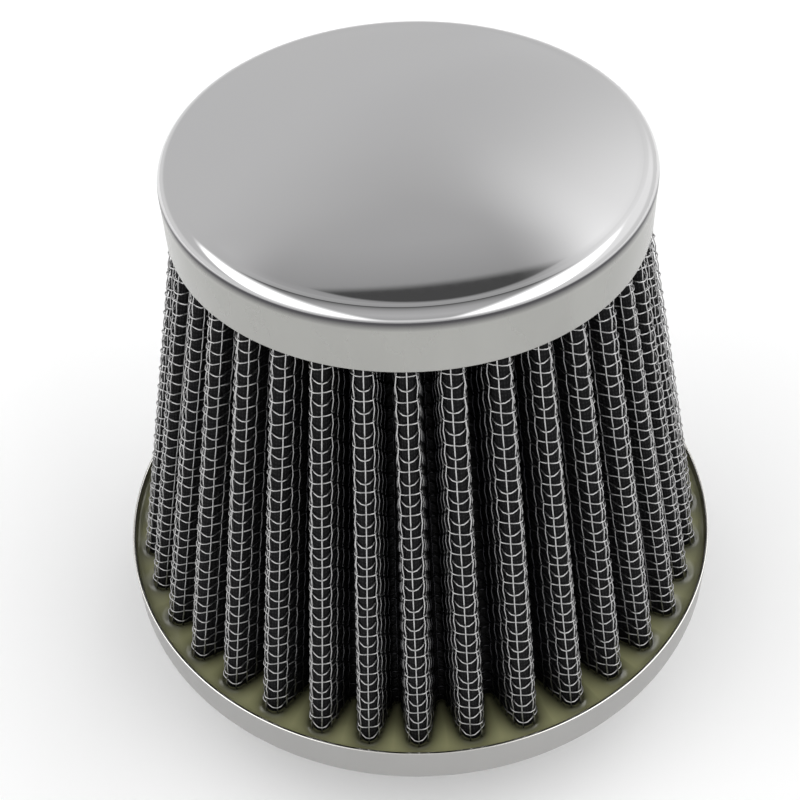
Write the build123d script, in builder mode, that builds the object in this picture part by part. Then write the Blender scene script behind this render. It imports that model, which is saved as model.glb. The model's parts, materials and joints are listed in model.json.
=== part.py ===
"""Cone air filter: a pleated wire and gauze element, potted in resin between a steel cap and a steel pan.

The origin is the centre of the inlet mouth, and +Z runs up the axis of the cone.
"""
import os
from math import cos, radians, sin

from build123d import *

# Inlet neck, moulded in rubber
NECK_BORE = 76.0
NECK_WALL = 4.0
NECK_LENGTH = 24.0
LIP_HEIGHT = 1.6
LIP_WIDTH = 4.0

# Base pan, pressed from steel sheet
PAN_DIAMETER = 150.0
PAN_HEIGHT = 10.8
PAN_WALL = 0.8
PAN_CORNER = 1.5
HOLE_CLEARANCE = 0.1

# Cap, pressed from steel sheet, with its shoulder measured up from the bottom of the pan
CAP_DIAMETER = 104.0
CAP_SHOULDER = 123.2
CAP_SKIRT = 14.4
CAP_WALL = 0.8
CAP_CORNER = 2.6
CAP_CORNER_FACETS = 3

# Cast resin
BASE_RESIN_BELOW_RIM = 2.2
TOP_RESIN_ABOVE_EDGE = 2.5

# Pleats and their layers, measured at the base resin: all of them narrow together towards the cap
PLEATS = 36
PLEAT_DEPTH = 11.5
CREST_WIDTH = 4.9
CREST_BEVEL = 1.4
VALLEY_WIDTH = 1.6
RIM_GAP = 2.6
CAP_GAP = 1.2
SCREEN_THICKNESS = 0.5
MEDIA_THICKNESS = 1.4
WIRE_WIDTH = 0.45
WIRE_HEIGHT = 0.3

# Levels along the axis
pan_floor = NECK_LENGTH + PAN_WALL
pan_rim = NECK_LENGTH + PAN_HEIGHT
base_resin_top = pan_rim - BASE_RESIN_BELOW_RIM
cap_shoulder = NECK_LENGTH + CAP_SHOULDER
cap_edge = cap_shoulder - CAP_SKIRT
cap_ceiling = cap_shoulder - CAP_WALL
top_resin_face = cap_edge + TOP_RESIN_ABOVE_EDGE

# Radii that several pieces share
bore_radius = NECK_BORE / 2
neck_radius = bore_radius + NECK_WALL
pan_radius = PAN_DIAMETER / 2
pan_inner = pan_radius - PAN_WALL
cap_radius = CAP_DIAMETER / 2
cap_inner = cap_radius - CAP_WALL

# Rounded corner of the cap, from its crown to its skirt, as points on a quarter circle
cap_corner = []
for n in range(CAP_CORNER_FACETS + 1):
    turn = radians(90 * n / CAP_CORNER_FACETS)
    cap_corner.append((
        cap_radius - CAP_CORNER + CAP_CORNER * sin(turn),
        cap_shoulder - CAP_CORNER + CAP_CORNER * cos(turn),
    ))

# The crests run straight from the base resin, past the edge of the cap, to the top resin
crest_base = pan_inner - RIM_GAP
crest_at_edge = cap_inner - CAP_GAP
crest_slope = (crest_at_edge - crest_base) / (cap_edge - base_resin_top)
crest_top = crest_base + crest_slope * (top_resin_face - base_resin_top)
taper = crest_top / crest_base


def pleat_corners():
    """Corners of the folds, anticlockwise: two on each crest, then two in the valley after it."""
    pitch = 360 / PLEATS
    corners = []
    for n in range(PLEATS):
        for across in (-CREST_WIDTH / 2, CREST_WIDTH / 2):
            corners.append(Vector(crest_base, across).rotate(Axis.Z, n * pitch))
        for across in (-VALLEY_WIDTH / 2, VALLEY_WIDTH / 2):
            corners.append(Vector(crest_base - PLEAT_DEPTH, across).rotate(Axis.Z, (n + 0.5) * pitch))
    return corners


def neighbours(corners):
    """Each corner of a closed outline between the one before it and the one after it."""
    return zip(corners[-1:] + corners[:-1], corners, corners[1:] + corners[:1])


def bevelled(corners):
    """The folds with the two corners of each crest cut off, so that the crest is rounded."""
    outline = []
    for number, (before, corner, after) in enumerate(neighbours(corners)):
        on_crest = number % 4 < 2
        if on_crest:
            outline.append(corner + (before - corner).normalized() * CREST_BEVEL)
            outline.append(corner + (after - corner).normalized() * CREST_BEVEL)
        else:
            outline.append(corner)
    return outline


def mitre(before, corner, after):
    """The way out of a corner that moves both of its edges out by one."""
    normal_in = (corner - before).normalized().rotate(Axis.Z, -90)
    normal_out = (after - corner).normalized().rotate(Axis.Z, -90)
    return (normal_in + normal_out) / (1 + normal_in.dot(normal_out))


def inset(corners, amount):
    """The outline with every edge moved in by the same amount."""
    return [corner - mitre(before, corner, after) * amount for before, corner, after in neighbours(corners)]


def wired(corners):
    """The bevelled folds with a wire standing proud along both edges of the flat of each crest."""
    outline = []
    for number, (before, corner, after) in enumerate(neighbours(corners)):
        on_flat = number % 6 in (1, 2)
        if on_flat:
            outline.append(corner + (before - corner).normalized() * WIRE_WIDTH / 2)
            outline.append(corner + mitre(before, corner, after) * WIRE_HEIGHT)
            outline.append(corner + (after - corner).normalized() * WIRE_WIDTH / 2)
        else:
            outline.append(corner)
    return outline


def pleated_layer(outside, inside):
    """One pleated layer of the element: flat walls along two outlines, with a ring across each end."""
    walls = []
    low_wires = []
    high_wires = []
    for corners in (outside, inside):
        low = [corner + Vector(0, 0, base_resin_top) for corner in corners]
        high = [corner * taper + Vector(0, 0, top_resin_face) for corner in corners]
        for a, b, c, d in zip(low, low[1:] + low[:1], high[1:] + high[:1], high):
            walls.append(Face(Wire.make_polygon([a, b, c, d])))
        low_wires.append(Wire.make_polygon(low))
        high_wires.append(Wire.make_polygon(high))
    rings = [Face(outer, [inner]) for outer, inner in (low_wires, high_wires)]
    with BuildPart() as layer:
        add(Solid(Shell(walls + rings)))
    return layer


# Pleated layers, from the dirty side to the clean side
folds = pleat_corners()
crest_folds = bevelled(folds)
media_outside = inset(crest_folds, SCREEN_THICKNESS)
media_inside = inset(folds, SCREEN_THICKNESS + MEDIA_THICKNESS)
clean_side = inset(folds, SCREEN_THICKNESS + MEDIA_THICKNESS + SCREEN_THICKNESS)

outer_screen = pleated_layer(wired(crest_folds), media_outside)
filter_media = pleated_layer(media_outside, media_inside)
inner_screen = pleated_layer(media_inside, clean_side)

# Inlet neck: a sleeve that flares into a lip at its mouth, its upper end cast into the base resin
with BuildPart() as neck_sleeve:
    with BuildSketch(Plane.XZ):
        with BuildLine():
            Polyline(
                (bore_radius, 0),
                (neck_radius + LIP_HEIGHT, 0),
                (neck_radius, LIP_WIDTH),
                (neck_radius, base_resin_top),
                (bore_radius, base_resin_top),
                close=True,
            )
        make_face()
    revolve(axis=Axis.Z)

# Base pan: a shallow pressing with an eased lower corner and a hole for the neck
with BuildPart() as base_pan:
    with BuildSketch(Plane.XY.offset(NECK_LENGTH)):
        Circle(pan_radius)
    extrude(amount=PAN_HEIGHT)
    chamfer(base_pan.faces().sort_by(Axis.Z)[0].edges(), PAN_CORNER)
    with BuildSketch(Plane.XY.offset(pan_floor)):
        Circle(pan_inner)
    extrude(amount=PAN_HEIGHT, mode=Mode.SUBTRACT)
    with BuildSketch(Plane.XY.offset(NECK_LENGTH)):
        Circle(neck_radius + HOLE_CLEARANCE)
    extrude(amount=PAN_WALL, mode=Mode.SUBTRACT)

# Base resin: cast in the pan, round the upper end of the neck
with BuildPart() as base_potting:
    with BuildSketch(Plane.XY.offset(pan_floor)):
        Circle(pan_inner)
        Circle(neck_radius, mode=Mode.SUBTRACT)
    extrude(amount=base_resin_top - pan_floor)

# Cap: a flat crown that runs over a rounded corner into a straight skirt
with BuildPart() as top_cap:
    with BuildSketch(Plane.XZ):
        with BuildLine():
            Polyline(
                (0, cap_shoulder),
                *cap_corner,
                (cap_radius, cap_edge),
                (cap_inner, cap_edge),
                (cap_inner, cap_shoulder - CAP_CORNER),
                (cap_radius - CAP_CORNER, cap_ceiling),
                (0, cap_ceiling),
                close=True,
            )
        make_face()
    revolve(axis=Axis.Z)

# Top resin: fills the cap down to the upper ends of the pleats
with BuildPart() as top_potting:
    with BuildSketch(Plane.XZ):
        with BuildLine():
            Polyline(
                (0, top_resin_face),
                (cap_inner, top_resin_face),
                (cap_inner, cap_shoulder - CAP_CORNER),
                (cap_radius - CAP_CORNER, cap_ceiling),
                (0, cap_ceiling),
                close=True,
            )
        make_face()
    revolve(axis=Axis.Z)

pieces = {
    "neck_sleeve": neck_sleeve,
    "base_pan": base_pan,
    "base_potting": base_potting,
    "outer_screen": outer_screen,
    "filter_media": filter_media,
    "inner_screen": inner_screen,
    "top_potting": top_potting,
    "top_cap": top_cap,
}

os.makedirs("parts", exist_ok=True)
for name, piece in pieces.items():
    piece.part.label = name
    export_step(piece.part, f"parts/{name}.step")
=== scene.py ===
import json
import math

import bmesh
import bpy
import numpy as np
from mathutils import Matrix, Vector


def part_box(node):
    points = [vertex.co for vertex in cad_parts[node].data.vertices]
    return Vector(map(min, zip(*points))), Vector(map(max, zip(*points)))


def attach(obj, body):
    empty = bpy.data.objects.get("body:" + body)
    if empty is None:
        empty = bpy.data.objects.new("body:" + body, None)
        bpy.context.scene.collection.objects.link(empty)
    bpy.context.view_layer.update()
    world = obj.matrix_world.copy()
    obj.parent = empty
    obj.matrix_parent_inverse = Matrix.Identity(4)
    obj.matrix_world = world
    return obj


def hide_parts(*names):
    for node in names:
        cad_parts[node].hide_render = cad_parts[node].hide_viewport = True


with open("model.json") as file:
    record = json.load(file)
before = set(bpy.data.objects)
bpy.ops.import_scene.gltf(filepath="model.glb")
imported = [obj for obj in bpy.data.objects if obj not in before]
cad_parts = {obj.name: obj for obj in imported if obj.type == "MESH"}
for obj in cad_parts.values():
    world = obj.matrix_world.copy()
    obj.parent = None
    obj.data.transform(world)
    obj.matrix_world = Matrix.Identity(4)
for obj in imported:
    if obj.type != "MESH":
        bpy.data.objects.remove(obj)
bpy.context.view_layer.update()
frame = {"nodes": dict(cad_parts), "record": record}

MM = 0.001


def ring_radii(node, level):
    """Smallest and largest distance from the axis of a CAD node's corners at a level."""
    corners = np.array([v.co for v in frame["nodes"][node].data.vertices])
    at_level = corners[np.abs(corners[:, 2] - level) < 0.01 * MM]
    distances = np.hypot(at_level[:, 0], at_level[:, 1])
    return distances.min(), distances.max()


# Sizes read from the frame
pan_low, pan_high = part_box("base_pan")
cap_low, cap_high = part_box("top_cap")
resin_low, resin_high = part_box("base_potting")
neck_low, neck_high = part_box("neck_sleeve")
media_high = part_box("filter_media")[1]
inlet = next(mount for mount in frame["record"]["mounts"] if mount["name"] == "inlet")
PAN_RADIUS = pan_high.x
PAN_INNER = resin_high.x
PAN_BOTTOM = pan_low.z
PAN_RIM = pan_high.z
SHEET_STEEL = resin_low.z - pan_low.z
RESIN_FLOOR = resin_low.z
RESIN_TOP = resin_high.z
CAP_RADIUS = cap_high.x
CAP_EDGE = cap_low.z
CAP_TOP = cap_high.z
PLEAT_TOP = media_high.z
BORE_RADIUS = inlet["dims"]["r_mm"] * MM
NECK_RADIUS = ring_radii("base_potting", RESIN_TOP)[0]
LIP_RADIUS = neck_high.x

# Pleats: every fold is a round crest and a round valley, joined by straight flanks
PLEATS = 36
HALF_PITCH = math.pi / PLEATS
SCREEN_THICKNESS = 0.5 * MM
SKIRT_GAP = 0.3 * MM
CREST_AT_BASE = media_high.x + SCREEN_THICKNESS
CREST_AT_EDGE = CAP_RADIUS - SHEET_STEEL - SKIRT_GAP
CREST_SLOPE = (CREST_AT_EDGE - CREST_AT_BASE) / (CAP_EDGE - RESIN_TOP)
CREST_TAPER = 1 + CREST_SLOPE * (PLEAT_TOP - RESIN_TOP) / CREST_AT_BASE
DEPTH_AT_BASE = 11.5 * MM
GAUZE_INSET = 0.68 * MM
GAUZE_THICKNESS = 0.9 * MM
CAST_IN = 0.5 * MM

# Radii of the folds, at the base and at the cap
CREST_FOLD = (2.8 * MM, 2.36 * MM)
VALLEY_FOLD = (1.1 * MM, 0.7 * MM)

# Woven wire cloth
WIRE_RADIUS = 0.172 * MM
WEFT_CRIMP = 0.32 * MM
WARP_CRIMP = 0.17 * MM
CLOTH_INSET = 0.14 * MM
WARP_COUNT = 368
WEFT_PITCH = 2.80 * MM
FIRST_WEFT = 2.0 * MM
LAST_WEFT = 0.3 * MM

# White of the floor and of the backdrop round it
STAGE_WHITE = 0.95


def fold_shape(rise, depth):
    """Fold radii, centres, turn of the flank, length of the flank and half the sheet in one pleat."""
    crest_fold = CREST_FOLD[0] + (CREST_FOLD[1] - CREST_FOLD[0]) * rise
    valley_fold = VALLEY_FOLD[0] + (VALLEY_FOLD[1] - VALLEY_FOLD[0]) * rise
    crest_radius = CREST_AT_BASE * (1 + (CREST_TAPER - 1) * rise)
    crest_out = crest_radius - crest_fold
    valley_out = (crest_radius - depth + valley_fold) * math.cos(HALF_PITCH)
    valley_across = (crest_radius - depth + valley_fold) * math.sin(HALF_PITCH)
    reach = np.hypot(valley_across, crest_out - valley_out)
    lean = np.arctan2(valley_across, crest_out - valley_out)
    turn = math.pi - np.arccos((crest_fold + valley_fold) / reach) - lean
    flank = np.sqrt(reach ** 2 - (crest_fold + valley_fold) ** 2)
    half_sheet = crest_fold * turn + flank + valley_fold * (turn - HALF_PITCH)
    return crest_fold, valley_fold, crest_out, valley_out, valley_across, turn, flank, half_sheet


HALF_SHEET = fold_shape(0.0, DEPTH_AT_BASE)[-1]
SHEET_LENGTH = 2 * PLEATS * HALF_SHEET


def depth_at(rise):
    """Depth of the pleats up the cone, where they grow deeper because the sheet keeps its length."""
    shallow = np.full_like(rise, 0.6 * DEPTH_AT_BASE)
    deep = np.full_like(rise, 1.4 * DEPTH_AT_BASE)
    for _ in range(30):
        middle = (shallow + deep) / 2
        too_long = fold_shape(rise, middle)[-1] > HALF_SHEET
        deep = np.where(too_long, middle, deep)
        shallow = np.where(too_long, shallow, middle)
    return (shallow + deep) / 2


def depth_in_fold(along):
    """How far a length along the sheet lies from its crest, from 0 on the crest to 1 in the valley."""
    return np.abs(along - 2 * HALF_SHEET * np.round(along / (2 * HALF_SHEET))) / HALF_SHEET


def on_sheet(along, level, inset):
    """Points of the pleated sheet, from lengths along it, levels, and insets from its outer face."""
    along, level, inset = np.broadcast_arrays(along, level, inset)
    rise = (level - RESIN_TOP) / (PLEAT_TOP - RESIN_TOP)
    shape = fold_shape(rise, depth_at(rise))
    crest_fold, valley_fold, crest_out, valley_out, valley_across, flank_turn, flank, _ = shape
    pleat = np.round(along / (2 * HALF_SHEET))
    from_crest = along - pleat * 2 * HALF_SHEET
    length = np.abs(from_crest)
    crest_arc = crest_fold * flank_turn
    crest_turn = np.clip(length / crest_fold, 0, flank_turn)
    down_flank = np.clip(length - crest_arc, 0, flank)
    valley_turn = flank_turn - np.clip((length - crest_arc - flank) / valley_fold, 0, None)
    above_valley = length < crest_arc + flank
    across = np.where(
        above_valley,
        (crest_fold - inset) * np.sin(crest_turn) + down_flank * np.cos(flank_turn),
        valley_across - (valley_fold + inset) * np.sin(valley_turn),
    )
    out = np.where(
        above_valley,
        crest_out + (crest_fold - inset) * np.cos(crest_turn) - down_flank * np.sin(flank_turn),
        valley_out - (valley_fold + inset) * np.cos(valley_turn),
    )
    turn = pleat * 2 * HALF_PITCH + np.arctan2(np.sign(from_crest) * across, out)
    distance = np.hypot(across, out)
    # Folded by hand: the pleats stray by a degree or so, and their crests by some tenths of a millimetre
    stray = (0.35 + 0.75 * rise) * np.sin(2 * turn + 2.75)
    stray = stray + 0.45 * np.sin(5 * turn - 0.5) + 0.2 * np.sin(9 * turn - 0.7)
    turn = turn + np.radians(stray)
    wave = 0.22 * MM * np.sin(11 * turn + 2.1)
    distance = distance + wave + 0.16 * MM * np.sin(23 * turn + 0.7 + 2 * rise)
    return np.stack([distance * np.cos(turn), distance * np.sin(turn), level], axis=-1)


def new_piece(name, verts, faces, material, replaced=(), uv=None):
    """A smooth mesh piece that rides on the filter's one body."""
    mesh = bpy.data.meshes.new(name)
    mesh.from_pydata(verts, [], faces)
    mesh.update()
    mesh.polygons.foreach_set("use_smooth", np.ones(len(mesh.polygons), dtype=bool))
    if uv is not None:
        layer = mesh.uv_layers.new(name="sheet")
        corners = np.zeros(len(mesh.loops), dtype=np.int32)
        mesh.loops.foreach_get("vertex_index", corners)
        layer.data.foreach_set("uv", np.asarray(uv, dtype=np.float32)[corners].ravel())
    piece = bpy.data.objects.new(name, mesh)
    bpy.context.scene.collection.objects.link(piece)
    mesh.materials.append(material)
    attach(piece, "root")
    if replaced:
        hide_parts(*replaced)
    return piece


def mark(piece, name, values):
    """A value on each corner of a piece, for its material to read."""
    attribute = piece.data.attributes.new(name, "FLOAT", "POINT")
    attribute.data.foreach_set("value", values.astype(np.float32).ravel())


def grid_faces(rows, columns, closed_rows=False, closed_columns=False):
    """Quads of a grid of points that are numbered row by row."""
    row = np.arange(rows if closed_rows else rows - 1)[:, None]
    column = np.arange(columns if closed_columns else columns - 1)[None, :]
    next_row = (row + 1) % rows
    next_column = (column + 1) % columns
    corners = (
        row * columns + column,
        row * columns + next_column,
        next_row * columns + next_column,
        next_row * columns + column,
    )
    return np.stack(np.broadcast_arrays(*corners), axis=-1).reshape(-1, 4)


def tubes(paths, upright, closed, sides):
    """Corners and faces of a round wire along each path; upright is a way that no path runs along."""
    if closed:
        tangent = np.roll(paths, -1, axis=1) - np.roll(paths, 1, axis=1)
    else:
        tangent = np.gradient(paths, axis=1)
    tangent /= np.linalg.norm(tangent, axis=-1, keepdims=True)
    first = np.cross(tangent, upright)
    first /= np.linalg.norm(first, axis=-1, keepdims=True)
    second = np.cross(tangent, first)
    turn = 2 * math.pi * (np.arange(sides) + 0.5) / sides
    rim = np.cos(turn)[:, None] * first[..., None, :] + np.sin(turn)[:, None] * second[..., None, :]
    verts = (paths[..., None, :] + WIRE_RADIUS * rim).reshape(-1, 3)
    count, steps = paths.shape[:2]
    start = np.arange(count)[:, None, None] * steps * sides
    skin = grid_faces(steps, sides, closed_rows=closed, closed_columns=True)
    faces = (start + skin).reshape(-1, 4).tolist()
    if not closed:
        ring = np.arange(sides)
        ends = np.stack([ring[::-1], ring + (steps - 1) * sides])
        faces += (start + ends).reshape(-1, sides).tolist()
    return verts, faces


def rounded(corners, steps=6):
    """An outline of (distance, level, radius) corners, with each corner rounded to its radius."""
    points = []
    for number, (distance, level, radius) in enumerate(corners):
        corner = Vector((distance, level))
        if radius == 0:
            points.append(tuple(corner))
            continue
        before = (Vector(corners[number - 1][:2]) - corner).normalized()
        after = (Vector(corners[(number + 1) % len(corners)][:2]) - corner).normalized()
        half = before.angle(after) / 2
        centre = corner + (before + after).normalized() * radius / math.sin(half)
        start = corner + before * radius / math.tan(half) - centre
        end = corner + after * radius / math.tan(half) - centre
        sweep = start.angle_signed(end)
        for step in range(steps + 1):
            points.append(tuple(centre + Matrix.Rotation(-sweep * step / steps, 2) @ start))
    return points


def lathe(name, outline, material, replaced, segments=288):
    """A turned piece from a clockwise outline of (distance, level) points, a loop or closed on the axis."""
    distance, level = np.array(outline).T
    on_axis = distance[0] == 0
    turn = 2 * math.pi * np.arange(segments)[:, None] / segments
    x, y = distance * np.cos(turn), distance * np.sin(turn)
    verts = np.stack(np.broadcast_arrays(x, y, level), axis=-1)
    faces = grid_faces(segments, len(outline), closed_rows=True, closed_columns=not on_axis)
    piece = new_piece(name, verts.reshape(-1, 3), faces, material, replaced)
    if on_axis:
        welded = bmesh.new()
        welded.from_mesh(piece.data)
        bmesh.ops.remove_doubles(welded, verts=welded.verts, dist=0.0001 * MM)
        welded.to_mesh(piece.data)
        welded.free()


class Nodes:
    """The nodes of one tree."""

    def __init__(self, tree):
        self.tree = tree

    def join(self, value, socket):
        if isinstance(value, bpy.types.NodeSocket):
            self.tree.links.new(value, socket)
        else:
            socket.default_value = value

    def add(self, kind, links=None, **settings):
        node = self.tree.nodes.new(kind)
        for key, value in settings.items():
            setattr(node, key, value)
        for socket, value in (links or {}).items():
            self.join(value, node.inputs[socket])
        return node

    def spread(self, value, low, high, start=0.0, end=1.0, how="LINEAR"):
        links = {"Value": value, "From Min": start, "From Max": end, "To Min": low, "To Max": high}
        return self.add("ShaderNodeMapRange", links, interpolation_type=how).outputs["Result"]

    def math(self, operation, first, second):
        return self.add("ShaderNodeMath", {0: first, 1: second}, operation=operation).outputs["Value"]

    def blend(self, share, low, high):
        """Mix of two colours: inputs 6 and 7 and output 2 are the node's colour sockets."""
        mix = self.add("ShaderNodeMix", data_type="RGBA")
        sockets = (mix.inputs["Factor"], mix.inputs[6], mix.inputs[7])
        for value, socket in zip((share, low, high), sockets):
            self.join((*value, 1) if isinstance(value, tuple) else value, socket)
        return mix.outputs[2]

    def ramp(self, value, stops):
        """Greys between (position, grey) stops."""
        node = self.add("ShaderNodeValToRGB", {"Fac": value})
        elements = node.color_ramp.elements
        first, *between, last = stops
        for element, (position, grey) in zip(elements, (first, last)):
            element.position = position
            element.color = (grey, grey, grey, 1)
        for position, grey in between:
            elements.new(position).color = (grey, grey, grey, 1)
        return node.outputs["Color"]


class Surface(Nodes):
    """A new material's nodes, with its shader to hand."""

    def __init__(self, name, **shader_values):
        self.material = bpy.data.materials.new(name)
        self.material.use_nodes = True
        super().__init__(self.material.node_tree)
        self.shader = self.tree.nodes["Principled BSDF"]
        for socket, value in shader_values.items():
            self.shader.inputs[socket.replace("_", " ")].default_value = value

    def place(self, stretch=(1, 1, 1)):
        source = self.add("ShaderNodeTexCoord").outputs["Object"]
        return self.add("ShaderNodeMapping", {"Vector": source, "Scale": stretch}).outputs["Vector"]

    def level(self):
        return self.add("ShaderNodeSeparateXYZ", {"Vector": self.place()}).outputs["Z"]

    def noise(self, scale, detail, stretch=(1, 1, 1)):
        links = {"Scale": scale, "Detail": detail, "Vector": self.place(stretch)}
        return self.add("ShaderNodeTexNoise", links).outputs["Fac"]

    def bump(self, height, strength, distance):
        links = {"Height": height, "Strength": strength, "Distance": distance}
        self.join(self.add("ShaderNodeBump", links).outputs["Normal"], self.shader.inputs["Normal"])

    def colour(self, value):
        self.join(value, self.shader.inputs["Base Color"])

    def roughness(self, value):
        self.join(value, self.shader.inputs["Roughness"])


def cap_steel():
    """Bright crown and corner and a satin skirt whose steel is coloured darker as painted shade; round the
    lower corner, where the polish stops, a dark band is painted in as a reflection.
    """
    m = Surface("cap_steel", Metallic=1.0)
    level = m.level()
    polish_ends, satin_starts = CAP_TOP - 1.8 * MM, CAP_TOP - 2.3 * MM
    # Painted reflection: a dark band painted round the lower edge of the corner, where the steel would
    # mirror darker surroundings
    reflection_starts, reflection_darkest = CAP_TOP - 1.5 * MM, CAP_TOP - 1.9 * MM
    reflection_fades, reflection_ends = CAP_TOP - 2.2 * MM, CAP_TOP - 3.9 * MM
    satin = m.spread(level, 1.0, 0.0, satin_starts, polish_ends)
    reflection_top = m.spread(level, 1.0, 0.0, reflection_darkest, reflection_starts)
    reflection_bottom = m.spread(level, 0.0, 1.0, reflection_ends, reflection_fades)
    soft = m.noise(18, 3)
    smudge = m.noise(90, 4, (1, 1, 0.35))
    crown = m.blend(soft, (0.595, 0.595, 0.605), (0.625, 0.62, 0.62))
    # Painted shade: the skirt's steel is coloured darker than the crown's, besides its random satin smudges
    skirt = m.blend(smudge, (0.325, 0.325, 0.31), (0.41, 0.41, 0.393))
    # Mask of the painted reflection, laid over the steel's colour below
    painted_reflection = m.math("MULTIPLY", reflection_top, reflection_bottom)
    m.colour(m.blend(painted_reflection, m.blend(satin, crown, skirt), (0.075, 0.073, 0.078)))
    polish = m.spread(m.noise(700, 2), 0.02, 0.05)
    m.roughness(m.spread(satin, polish, m.spread(smudge, 0.22, 0.33)))
    m.bump(m.noise(45, 2), 0.006, 0.0004)
    return m.material


def pan_steel():
    """Satin, with a painted highlight on the top of its sheared rim, which is smoother there too."""
    m = Surface("pan_steel", Metallic=1.0)
    rolled = m.noise(160, 5, (1, 1, 0.05))
    band = m.blend(m.noise(26, 3), (0.335, 0.332, 0.325), (0.405, 0.40, 0.392))
    # Painted highlight: the top of the rim is coloured near white, where it would mirror the bright sky
    painted_rim_highlight = m.spread(m.level(), 0.0, 1.0, PAN_RIM - 0.14 * MM, PAN_RIM - 0.05 * MM)
    m.colour(m.blend(painted_rim_highlight, band, (0.85, 0.84, 0.80)))
    satin = m.spread(rolled, 0.26, 0.40)
    m.roughness(m.math("MULTIPLY", satin, m.spread(painted_rim_highlight, 1.0, 0.4)))
    m.bump(rolled, 0.05, 0.0003)
    return m.material


def wire_metal():
    """Plain steel wire, with painted shade down in the folds and on its foot just above the resin."""
    m = Surface("wire_metal", Metallic=1.0)
    bright = m.blend(m.noise(140, 3), (0.40, 0.40, 0.405), (0.60, 0.595, 0.59))
    depth = m.add("ShaderNodeAttribute", attribute_name="depth").outputs["Fac"]
    # Painted shade: the wires darken towards the bottoms of the folds, where little light gets in
    fold_shaded = m.blend(m.spread(depth, 0.0, 1.0, 0.22, 0.72), bright, (0.055, 0.055, 0.06))
    # Painted shade: the wires darken to a near-black olive as they come down to the resin, where their feet
    # sink into it
    foot_shade_full, foot_shade_clear = RESIN_TOP + 0.6 * MM, RESIN_TOP + 2.1 * MM
    painted_join_shade = m.spread(m.level(), 0.95, 0.0, foot_shade_full, foot_shade_clear)
    m.colour(m.blend(painted_join_shade, fold_shaded, (0.045, 0.045, 0.03)))
    m.roughness(m.spread(m.noise(1500, 2), 0.24, 0.38))
    return m.material


def gauze_cloth():
    """Oiled black gauze: fine threads both ways along the sheet."""
    m = Surface("gauze_cloth", Roughness=0.62, Specular_IOR_Level=0.09)
    sheet = m.add("ShaderNodeTexCoord").outputs["UV"]
    threads = []
    for direction in ("X", "Y"):
        links = {"Vector": sheet, "Scale": 330.0, "Distortion": 1.5, "Detail": 1.0}
        threads.append(m.add("ShaderNodeTexWave", links, bands_direction=direction).outputs["Fac"])
    weave = m.math("MULTIPLY", *threads)
    m.colour(m.blend(weave, (0.004, 0.004, 0.0045), (0.016, 0.016, 0.017)))
    m.bump(weave, 0.6, 0.0002)
    return m.material


def green_resin():
    """Cast olive resin, glossy and a little cloudy, with painted shade where it meets the pleats and the
    wall of the pan.
    """
    m = Surface("green_resin", Specular_IOR_Level=0.5, Coat_Weight=0.5, Coat_Roughness=0.05)
    cloud = m.blend(m.noise(60, 5), (0.25, 0.25, 0.125), (0.38, 0.38, 0.21))
    # Painted shade: near black where the resin meets the pleats and the wall, read from a value on the mesh
    painted_join_shade = m.add("ShaderNodeAttribute", attribute_name="painted_join_shade").outputs["Fac"]
    m.colour(m.blend(painted_join_shade, cloud, (0.010, 0.010, 0.007)))
    m.roughness(m.spread(m.noise(220, 3), 0.10, 0.20))
    m.bump(m.noise(120, 3), 0.10, 0.0008)
    return m.material


def black_rubber():
    m = Surface("black_rubber", Specular_IOR_Level=0.4)
    m.colour(m.blend(m.noise(40, 4), (0.016, 0.016, 0.017), (0.032, 0.032, 0.033)))
    m.roughness(m.spread(m.noise(300, 3), 0.48, 0.68))
    m.bump(m.noise(700, 3), 0.15, 0.0003)
    return m.material


def add_wire_cloth(label, middle, metal, replaced, steps, sides):
    """A pleated plain weave: level weft wires that pass over and under the warp wires up the folds."""
    slant = math.hypot(PLEAT_TOP - RESIN_TOP, CREST_AT_BASE * (1 - CREST_TAPER))
    row_rise = WEFT_PITCH * (PLEAT_TOP - RESIN_TOP) / slant
    levels = np.arange(RESIN_TOP + FIRST_WEFT, PLEAT_TOP - LAST_WEFT, row_rise)
    warp_pitch = SHEET_LENGTH / WARP_COUNT
    step = np.arange(WARP_COUNT * steps)[None, :] / steps
    row = np.arange(len(levels))[:, None]
    weft_inset = middle - WEFT_CRIMP * np.cos(math.pi * (step + row))
    wander = 0.14 * MM * np.sin(step / 9 + 1.7 * row) + 0.10 * MM * np.sin(step / 23 + 0.9 * row)
    weft = on_sheet(step * warp_pitch, levels[:, None] + wander, weft_inset)
    for number, rows in enumerate(np.array_split(weft, 2)):
        verts, faces = tubes(rows, (0.0, 0.0, 1.0), True, sides)
        stands_for = replaced if number == 0 else ()
        piece = new_piece(f"{label}_weft_{number + 1}", verts, faces, metal, stands_for)
        mark(piece, "depth", np.tile(np.repeat(depth_in_fold(step * warp_pitch), sides), len(rows)))

    crossings = np.concatenate([[RESIN_TOP - CAST_IN], levels, [PLEAT_TOP]])[None, :]
    number = np.arange(WARP_COUNT)[:, None]
    over = np.cos(math.pi * (number + np.arange(crossings.size)[None, :] - 1))
    drift = 0.12 * MM * np.sin(crossings * 55 + 2.3 * number)
    warp = on_sheet(number * warp_pitch + drift, crossings, middle + WARP_CRIMP * over)
    outward = warp.mean(axis=1, keepdims=True) * np.array([1, 1, 0])
    verts, faces = tubes(warp, np.cross((0.0, 0.0, 1.0), outward), False, sides)
    piece = new_piece(f"{label}_warp", verts, faces, metal)
    mark(piece, "depth", np.repeat(depth_in_fold(number * warp_pitch), crossings.size * sides))


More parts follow.
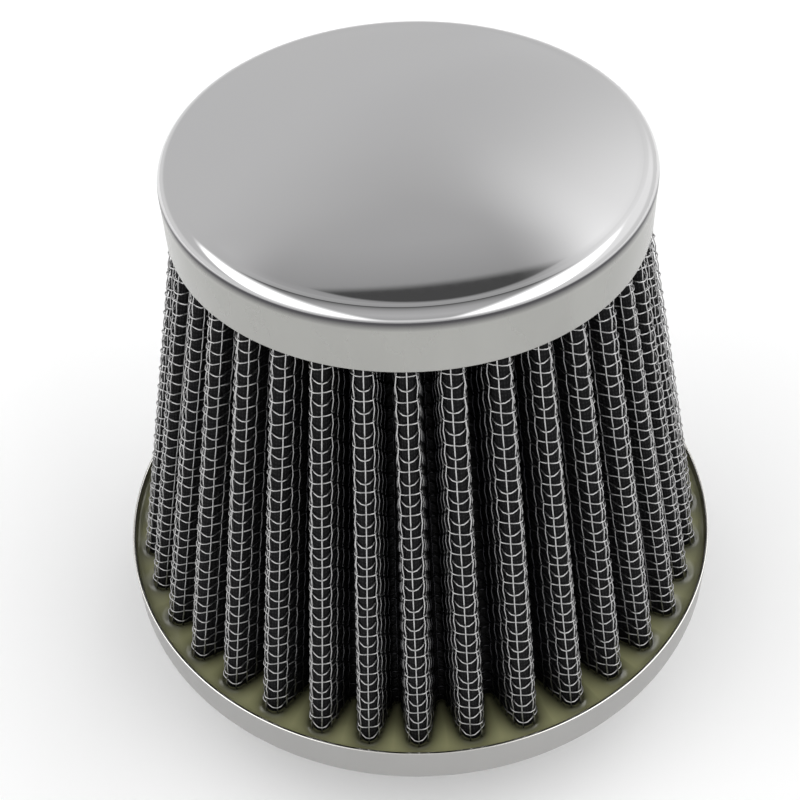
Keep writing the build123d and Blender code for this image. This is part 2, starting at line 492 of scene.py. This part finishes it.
def add_gauze(cloth):
    """The black gauze between the two wire cloths, as a closed pleated sheet."""
    around, up = PLEATS * 30, 30
    along = np.arange(around) * SHEET_LENGTH / around
    level = np.linspace(RESIN_TOP - CAST_IN, PLEAT_TOP, up)
    outside = on_sheet(along[None, :], level[:, None], GAUZE_INSET)
    inside = on_sheet(along[None, :], level[::-1, None], GAUZE_INSET + GAUZE_THICKNESS)
    verts = np.concatenate([outside, inside]).reshape(-1, 3)
    faces = grid_faces(2 * up, around, closed_rows=True, closed_columns=True)
    heights = np.concatenate([level, level[::-1]])
    uv = np.stack(np.broadcast_arrays(along[None, :], heights[:, None]), axis=-1).reshape(-1, 2)
    new_piece("gauze_pleats", verts, faces, cloth, ["filter_media"], uv)


def add_base_resin(resin):
    """The resin in the pan, drawn up a little where it wets the pleats and the wall of the pan."""
    columns, fold_steps = 24, 60
    around = PLEATS * columns
    turn = np.arange(around)[None, :] * 2 * math.pi / around
    hidden_end = 0.78 * PAN_INNER
    hidden = np.linspace(NECK_RADIUS, hidden_end, 8, endpoint=False)
    distance = np.concatenate([hidden, np.linspace(hidden_end, PAN_INNER, 48)])[:, None]
    x, y = distance * np.cos(turn), distance * np.sin(turn)
    foot = on_sheet(np.arange(PLEATS * fold_steps) * 2 * HALF_SHEET / fold_steps, RESIN_TOP, 0.0)
    gap = np.zeros_like(x)
    # Each pleat's share of the resin is measured to its own fold and a little of the next ones
    for pleat in range(PLEATS):
        near = (np.arange(columns) + (pleat - 0.5) * columns).astype(int) % around
        fold = foot[(np.arange(1.4 * fold_steps) + (pleat - 0.7) * fold_steps).astype(int) % len(foot)]
        gap[:, near] = np.hypot(x[:, near, None] - fold[:, 0], y[:, near, None] - fold[:, 1]).min(axis=-1)
    to_wall = PAN_INNER - distance
    at_folds, fold_reach = 0.50 * MM, 1.1 * MM
    at_wall, wall_reach = 0.45 * MM, 1.0 * MM
    sunk = 0.35 * MM
    rise = at_folds * np.exp(-gap / fold_reach) + at_wall * np.exp(-to_wall / wall_reach)
    ripple = 0.14 * MM * np.sin(5 * turn + 1.0) * np.sin(distance / (2.2 * MM))
    rise += ripple + 0.08 * MM * np.sin(29 * turn)
    surface = np.stack([x, y, RESIN_TOP - sunk + rise], axis=-1)
    under = np.stack([x, y, np.full_like(x, RESIN_FLOOR)], axis=-1)
    verts = np.concatenate([surface[::-1], under[[0, -1]]]).reshape(-1, 3)
    faces = grid_faces(len(distance) + 2, around, closed_rows=True, closed_columns=True)
    piece = new_piece("base_resin", verts, faces, resin, ["base_potting"])
    # Painted shade: the resin darkens close to the pleats and, less, close to the wall of the pan
    dark = np.maximum(np.exp(-gap / (1.9 * MM)), 0.4 * np.exp(-to_wall / (0.35 * MM)))
    mark(piece, "painted_join_shade", np.concatenate([dark[::-1], np.zeros((2, around))]))


def cap_outline():
    """A crown that falls away to a flat ring, a round corner, and a straight skirt set in a little."""
    corner = 2.6 * MM
    crown_tilt = math.radians(3.0)
    ring_tilt = math.radians(0.3)
    ring_width = 0.9 * MM
    easing = 0.06 * MM
    recess = 0.05 * MM
    ring_outside = CAP_RADIUS - corner
    ring_inside = ring_outside - ring_width
    ring_level = CAP_TOP + ring_width * math.tan(ring_tilt)
    crown = ring_inside * math.tan(crown_tilt) / 4
    share = np.linspace(0, 1, 40)
    outline = list(zip(ring_inside * share, ring_level + crown * (1 - share ** 4)))
    outline.append((ring_inside + easing, ring_level - easing * math.tan(ring_tilt)))
    for turn in np.linspace(ring_tilt, math.pi / 2, 24, endpoint=False):
        outline.append((ring_outside + corner * math.sin(turn), CAP_TOP - corner * (1 - math.cos(turn))))
    corner_end = CAP_TOP - corner
    step_start, step_end = corner_end - 1.4 * MM, corner_end - 1.9 * MM
    skirt = [
        (CAP_RADIUS, corner_end, 0),
        (CAP_RADIUS, step_start, 2.0 * MM),
        (CAP_RADIUS - recess, step_end, 2.0 * MM),
        (CAP_RADIUS - recess, CAP_EDGE, 0.3 * MM),
        (CAP_RADIUS - SHEET_STEEL, CAP_EDGE, 0.25 * MM),
        (CAP_RADIUS - SHEET_STEEL, CAP_TOP - SHEET_STEEL, 1.8 * MM),
        (0, CAP_TOP - SHEET_STEEL, 0),
    ]
    return outline + rounded(skirt)


def add_turned_pieces(cap_metal, pan_metal, rubber):
    """Cap, pan and neck, with their pressed and moulded edges rounded."""
    lathe("cap_shell", cap_outline(), cap_metal, ["top_cap"])
    hole = ring_radii("base_pan", PAN_BOTTOM)[0]
    pan = [
        (hole, PAN_BOTTOM, 0.3 * MM),
        (hole, PAN_BOTTOM + SHEET_STEEL, 0.2 * MM),
        (PAN_INNER, PAN_BOTTOM + SHEET_STEEL, 0.6 * MM),
        (PAN_INNER, PAN_RIM, 0.50 * MM),
        (PAN_RADIUS, PAN_RIM, 0.25 * MM),
        (PAN_RADIUS, PAN_BOTTOM, 1.6 * MM),
    ]
    lathe("pan_shell", rounded(pan), pan_metal, ["base_pan"])
    lip_width = 4.0 * MM
    neck = [
        (BORE_RADIUS, RESIN_TOP, 0.6 * MM),
        (NECK_RADIUS, RESIN_TOP, 0.3 * MM),
        (NECK_RADIUS, lip_width, 1.5 * MM),
        (LIP_RADIUS, neck_low.z, 0.9 * MM),
        (BORE_RADIUS, neck_low.z, 0.9 * MM),
    ]
    lathe("neck_tube", rounded(neck), rubber, ["neck_sleeve"])


def add_floor():
    mesh = bpy.data.meshes.new("floor")
    half = 3.0
    corners = [(-half, -half, 0), (half, -half, 0), (half, half, 0), (-half, half, 0)]
    mesh.from_pydata(corners, [], [(0, 1, 2, 3)])
    floor = bpy.data.objects.new("floor", mesh)
    bpy.context.scene.collection.objects.link(floor)
    m = Surface("floor_paint", Roughness=0.9, Specular_IOR_Level=0.0)
    m.shader.inputs["Base Color"].default_value = (STAGE_WHITE, STAGE_WHITE, STAGE_WHITE, 1)
    mesh.materials.append(m.material)


def add_world():
    """A studio tent: a grey arch from back to front with a dark gap in it, on each side a glow and
    a bright panel, and a low white backdrop all round the floor."""
    world = bpy.data.worlds.new("studio")
    bpy.context.scene.world = world
    world.use_nodes = True
    n = Nodes(world.node_tree)
    direction = n.add("ShaderNodeTexCoord").outputs["Generated"]

    def beyond(edge, start, end):
        """How far a direction lies beyond a straight edge, from 0 at the start to 1 at the end."""
        normal = Vector(edge).normalized()
        dot = n.add("ShaderNodeVectorMath", {0: direction, 1: normal}, operation="DOT_PRODUCT")
        return n.spread(dot.outputs["Value"], 0.0, 1.0, start, end, "SMOOTHSTEP")

    lean = (0, math.radians(-11), 0)
    leaned = n.add("ShaderNodeMapping", {"Vector": direction, "Rotation": lean}).outputs["Vector"]
    split = n.add("ShaderNodeSeparateXYZ", {"Vector": leaned}).outputs
    half_turns = n.math("DIVIDE", n.math("ARCTAN2", split["Z"], split["Y"]), math.pi)
    back_to_front = [
        (0.000, 0.95), (0.060, 0.80), (0.150, 0.84), (0.196, 0.60), (0.222, 0.57), (0.2475, 0.45),
        (0.250, 0.09), (0.262, 0.10), (0.320, 0.30), (0.370, 0.38), (0.500, 0.56), (0.700, 0.67),
        (0.820, 0.60), (0.900, 0.50), (0.945, 0.20), (1.000, 0.15),
    ]
    tent = n.ramp(half_turns, back_to_front)
    up = (0.0, 0.0, 1.0)
    left_back = (-1.0, 1.31, -1.66)
    right_back = (1.0, 1.02, -1.42)
    ray = n.add("ShaderNodeLightPath").outputs
    mirrored = n.math("MAXIMUM", ray["Is Glossy Ray"], ray["Is Transmission Ray"])
    seen = n.math("MAXIMUM", ray["Is Camera Ray"], mirrored)
    over_floor = beyond(up, 0.06, 0.42)
    left_glow = (0.75, beyond((-1.0, 0.70, -0.74), 0.06, 0.20), beyond(left_back, -0.04, 0.04))
    right_glow = (1.22, beyond((1.0, 0.07, 1.61), 0.48, 0.68), beyond(right_back, -0.04, 0.04))
    backdrop = (STAGE_WHITE, seen, beyond(up, 0.45, 0.25))
    left_edge, right_edge = beyond(left_back, 0.04, -0.04), beyond(right_back, 0.04, -0.04)
    left_panel = (2.40, beyond((-1.0, 0.13, -0.55), -0.14, 0.10), left_edge, over_floor)
    right_panel = (2.40, beyond((1.0, 0.19, -0.42), -0.07, 0.12), right_edge, over_floor)
    for grey, share, *others in (left_glow, right_glow, backdrop, left_panel, right_panel):
        for other in others:
            share = n.math("MULTIPLY", share, other)
        tent = n.blend(share, tent, (grey, grey, grey))
    n.join(tent, n.tree.nodes["Background"].inputs["Color"])


def add_camera():
    """A camera at the photograph's angle, framed for a square picture."""
    place = Vector((-0.68 * MM, -244.62 * MM, PAN_BOTTOM + 296.53 * MM))
    aim = Vector((-3.76 * MM, 0, PAN_BOTTOM + 49.16 * MM))
    roll = math.radians(-2.581)
    round_the_axis = Matrix.Rotation(math.radians(1.02), 4, "Z")
    data = bpy.data.cameras.new("camera")
    data.sensor_width = 36.0
    data.lens = 64.19
    data.clip_start = 0.01
    camera = bpy.data.objects.new("camera", data)
    bpy.context.scene.collection.objects.link(camera)
    look = (aim - place).to_track_quat("-Z", "Y").to_matrix().to_4x4()
    camera.matrix_world = round_the_axis @ Matrix.Translation(place) @ look @ Matrix.Rotation(roll, 4, "Z")
    bpy.context.scene.camera = camera


wire = wire_metal()
resin = green_resin()
inner_inset = GAUZE_INSET + GAUZE_THICKNESS + WIRE_RADIUS
add_wire_cloth("outer_screen", CLOTH_INSET, wire, ["outer_screen"], steps=3, sides=4)
add_wire_cloth("inner_screen", inner_inset, wire, ["inner_screen"], steps=1, sides=3)
add_gauze(gauze_cloth())
add_base_resin(resin)
add_turned_pieces(cap_steel(), pan_steel(), black_rubber())
top_resin = frame["nodes"]["top_potting"].data
top_resin.materials.clear()
top_resin.materials.append(resin)

add_floor()
add_world()
add_camera()
bpy.context.scene.view_settings.view_transform = "Standard"
